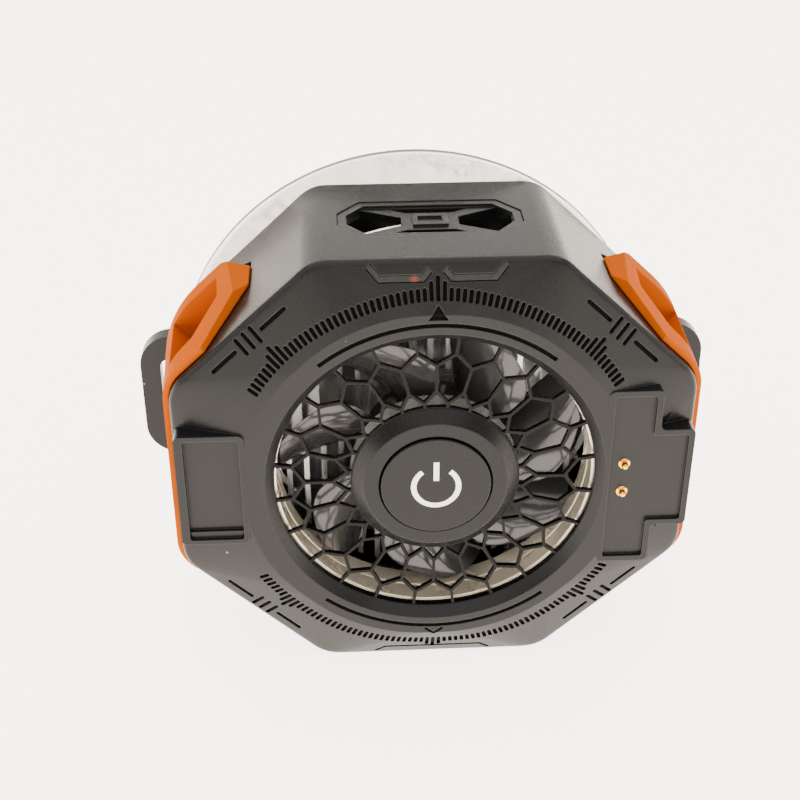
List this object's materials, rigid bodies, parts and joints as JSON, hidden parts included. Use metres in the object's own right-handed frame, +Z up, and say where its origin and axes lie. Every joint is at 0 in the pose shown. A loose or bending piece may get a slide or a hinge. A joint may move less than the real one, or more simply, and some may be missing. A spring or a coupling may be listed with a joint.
{
  "type": "rechargeable fan",
  "caption": "Rechargeable camping fan in a dark octagonal housing with a honeycomb guard, hub button, charging contacts, orange side grips, strap ears and a round light disc at the back.",
  "frame": {"origin": "middle of the flat base, under the fan axis and half way through the housing's depth", "axes": "+Z up, front (guard grille) faces -Y, +X to the right seen from the front"},
  "size_m": [0.1317, 0.0471, 0.1066],
  "materials": {
    "housing_plastic": "fine moulded texture, dark warm grey",
    "hub_plastic": "satin black",
    "grille_plastic": "satin black",
    "grip_plastic": "satin orange",
    "rotor_plastic": "polished dark grey",
    "shroud_chrome": "bright plated",
    "sink_aluminium": "extruded",
    "pipe_acrylic": "clear with a milky core",
    "contact_gold": "gold plated",
    "disc_opal": "milky translucent",
    "film_clear": "thin clear film",
    "tab_blue": "thin blue film",
    "gasket_foam": "matt",
    "board_fibre": "green solder mask",
    "light_board_white": "white solder mask on metal",
    "chip_phosphor": "yellow phosphor",
    "switch_black": "plain",
    "steel": "bright",
    "ferrite": "ground",
    "copper": "lacquered wire",
    "battery_wrap": "shrink wrap",
    "screw_steel": "zinc plated"
  },
  "bodies": {
    "housing": {"battery_left": "battery_wrap", "battery_right": "battery_wrap", "board_screws": "screw_steel", "button_board": "board_fibre", "button_switch": "switch_black", "contact_barrels": "contact_gold", "control_board": "board_fibre", "cover_screws": "screw_steel", "disc_film": "film_clear", "disc_gasket": "gasket_foam", "fan_shroud": "shroud_chrome", "film_tab": "tab_blue", "front_bearing": "steel", "front_cover": "housing_plastic", "guard_grille": "grille_plastic", "heat_sink": "sink_aluminium", "hub_cap": "hub_plastic", "indicator_board": "board_fibre", "indicator_chips": "chip_phosphor", "light_board": "light_board_white", "light_chips": "chip_phosphor", "light_disc": "disc_opal", "light_pipe_left": "pipe_acrylic", "light_pipe_right": "pipe_acrylic", "main_housing": "housing_plastic", "motor_base": "sink_aluminium", "motor_screws": "screw_steel", "rear_bearing": "steel", "rear_cover": "housing_plastic", "shroud_screws": "screw_steel", "side_grip_left": "grip_plastic", "side_grip_right": "grip_plastic", "sink_screws": "screw_steel", "stator_coils": "copper", "stator_core": "steel", "top_vent": "housing_plastic"},
    "rotor": {"fan_rotor": "rotor_plastic", "rotor_can": "steel", "magnet_ring": "ferrite", "motor_shaft": "steel"},
    "button": {"power_button": "hub_plastic", "switch_plunger": "switch_black"},
    "upper_contact": {"contact_pin_upper": "contact_gold"},
    "lower_contact": {"contact_pin_lower": "contact_gold"}
  },
  "joints": [
    {"name": "fan_spin", "type": "hinge", "parent": "housing", "child": "rotor", "pos_m": [0, 0, 0.0497], "axis": [0, 1, 0], "continuous": true},
    {"name": "button_press", "type": "slide", "parent": "housing", "child": "button", "axis": [0, 1, 0], "range_m": [0, 0.0008], "stiffness_N_per_m": 1500, "springref_m": -0.0003},
    {"name": "upper_contact_press", "type": "slide", "parent": "housing", "child": "upper_contact", "axis": [0, 1, 0], "range_m": [0, 0.001], "stiffness_N_per_m": 500, "springref_m": -0.0005},
    {"name": "lower_contact_press", "type": "slide", "parent": "housing", "child": "lower_contact", "axis": [0, 1, 0], "range_m": [0, 0.001], "stiffness_N_per_m": 500, "springref_m": -0.0005}
  ]
}
